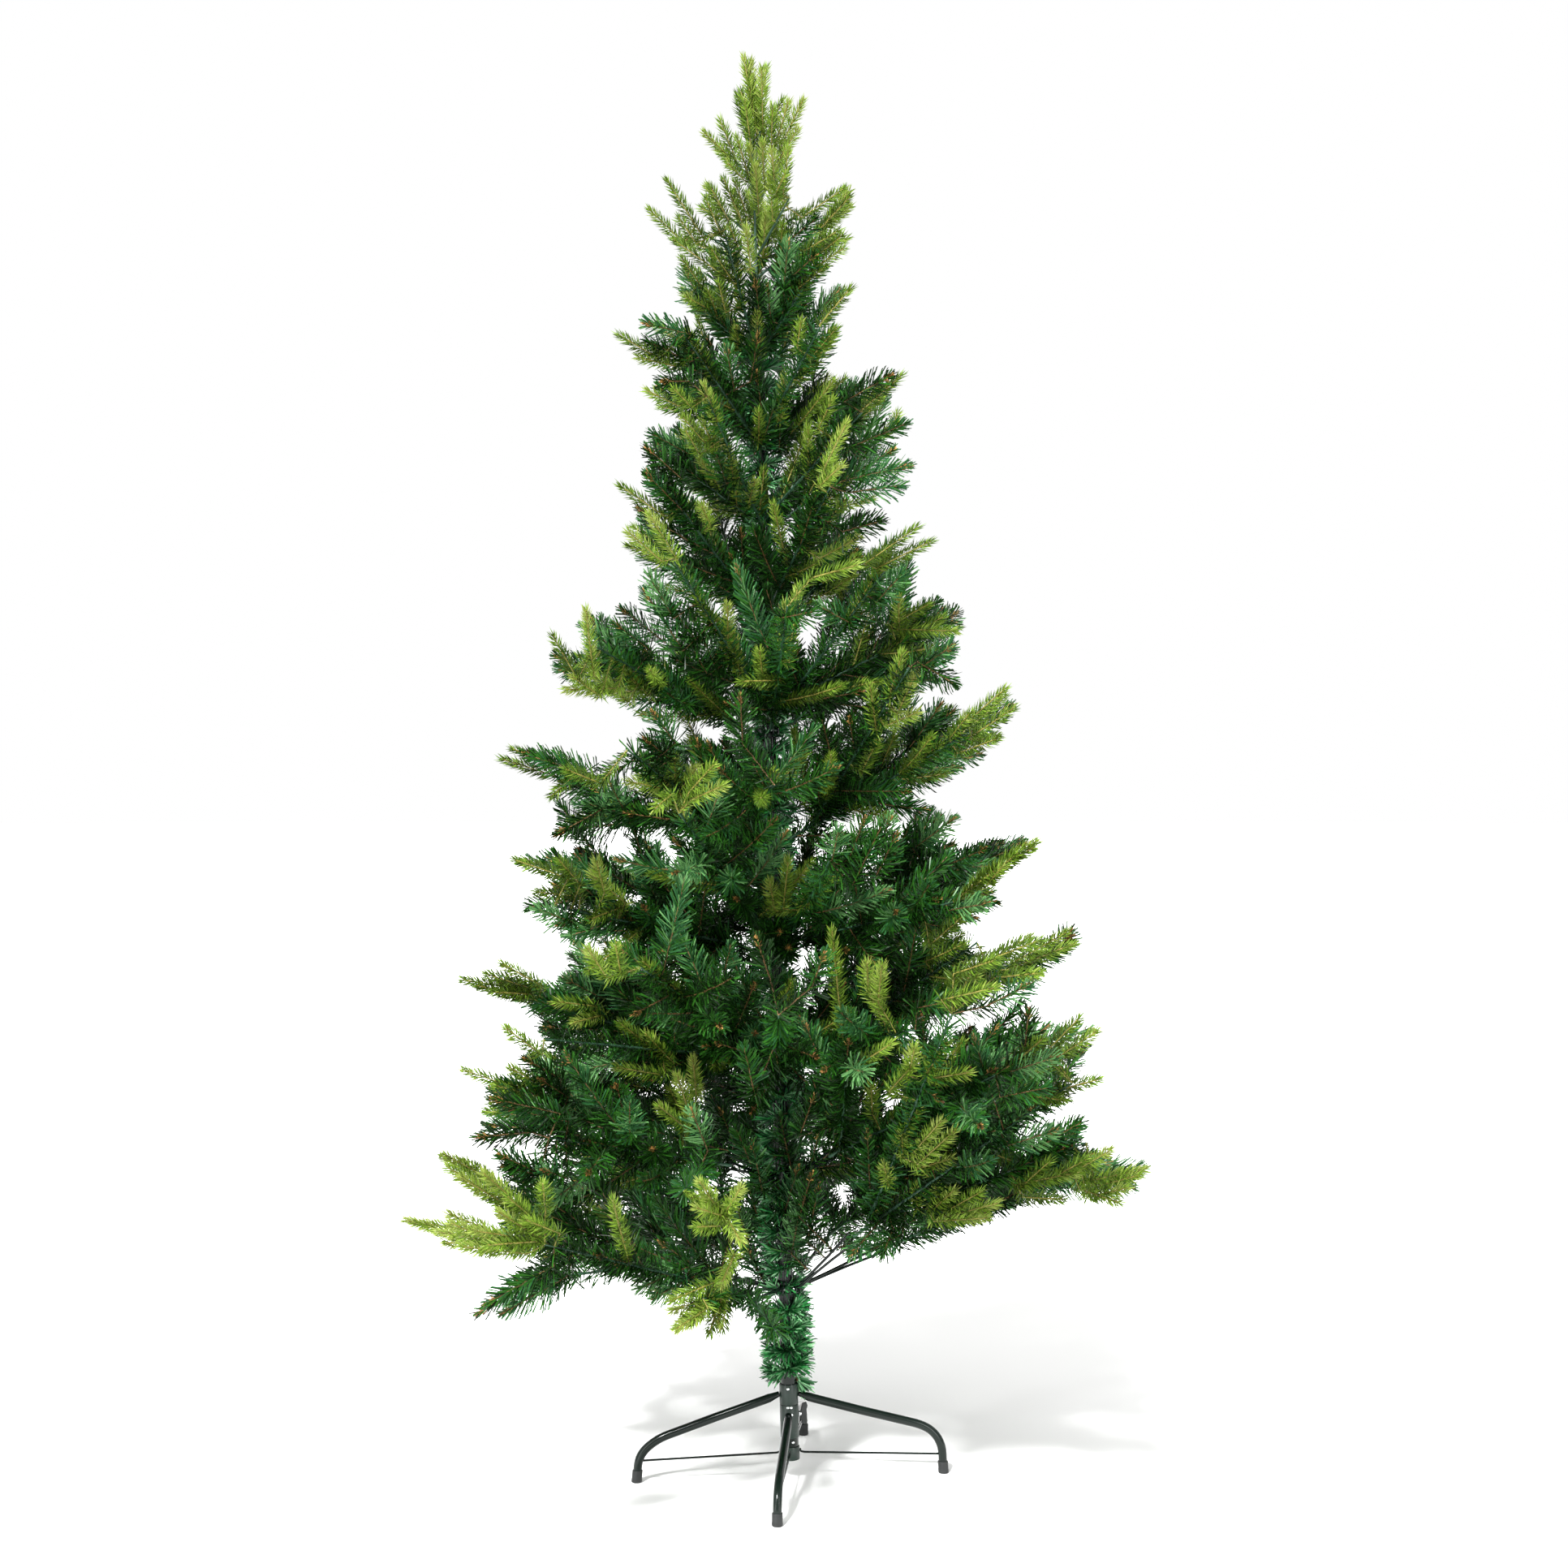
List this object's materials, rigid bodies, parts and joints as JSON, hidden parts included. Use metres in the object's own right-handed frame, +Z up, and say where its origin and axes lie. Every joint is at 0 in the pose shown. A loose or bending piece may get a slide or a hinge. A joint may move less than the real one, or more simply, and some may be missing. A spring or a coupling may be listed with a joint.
{
  "type": "artificial christmas tree",
  "caption": "Slim conical artificial fir with mixed dark and fresh needle sprays on wire boughs round a steel pole, on a folding cross stand with capped feet.",
  "frame": {"origin": "on the floor, under the middle of the tree's bounding box", "axes": "+Z up to the tip, +Y away from the viewer of the picture, +X to the viewer's right"},
  "size_m": [1.1256, 1.1025, 2.1],
  "materials": {
    "green_powder_coat": "gloss powder coat",
    "cap_plastic": "satin moulded plastic",
    "tinsel": "shiny cut film",
    "dark_needles": "satin cut film",
    "fresh_needles": "satin moulded plastic"
  },
  "bodies": {
    "root": {"pole": "green_powder_coat", "stand_tube": "green_powder_coat", "upper_collar": "green_powder_coat", "lower_collar": "green_powder_coat", "brace_collar": "green_powder_coat", "leg_right": "green_powder_coat", "leg_left": "green_powder_coat", "leg_back": "green_powder_coat", "leg_front": "green_powder_coat", "brace_right": "green_powder_coat", "brace_left": "green_powder_coat", "brace_back": "green_powder_coat", "brace_front": "green_powder_coat", "bough_low_1": "green_powder_coat", "bough_low_2": "green_powder_coat", "bough_low_3": "green_powder_coat", "bough_low_4": "green_powder_coat", "bough_low_5": "green_powder_coat", "bough_low_6": "green_powder_coat", "bough_second_1": "green_powder_coat", "bough_second_2": "green_powder_coat", "bough_second_3": "green_powder_coat", "bough_second_4": "green_powder_coat", "bough_second_5": "green_powder_coat", "wing_screw": "cap_plastic", "foot_cap_right": "cap_plastic", "foot_cap_left": "cap_plastic", "foot_cap_back": "cap_plastic", "foot_cap_front": "cap_plastic", "pole_tinsel": "tinsel", "foliage_low_1": "dark_needles", "foliage_low_2": "dark_needles", "foliage_low_3": "dark_needles", "foliage_low_4": "dark_needles", "foliage_low_5": "dark_needles", "foliage_low_6": "dark_needles", "foliage_second_1": "dark_needles", "foliage_second_2": "dark_needles", "foliage_second_3": "dark_needles", "foliage_second_4": "dark_needles", "foliage_second_5": "dark_needles", "foliage_third_1": "dark_needles", "foliage_third_2": "dark_needles", "foliage_third_3": "dark_needles", "foliage_third_4": "dark_needles", "foliage_third_5": "dark_needles", "foliage_fourth_1": "dark_needles", "foliage_fourth_2": "dark_needles", "foliage_fourth_3": "dark_needles", "foliage_fourth_4": "dark_needles", "foliage_fifth_1": "dark_needles", "foliage_fifth_2": "dark_needles", "foliage_fifth_3": "dark_needles", "foliage_sixth_1": "dark_needles", "foliage_sixth_2": "dark_needles", "foliage_sixth_3": "dark_needles", "foliage_upper_1": "dark_needles", "foliage_upper_2": "dark_needles", "foliage_upper_3": "dark_needles", "foliage_top": "fresh_needles"}
  },
  "joints": []
}
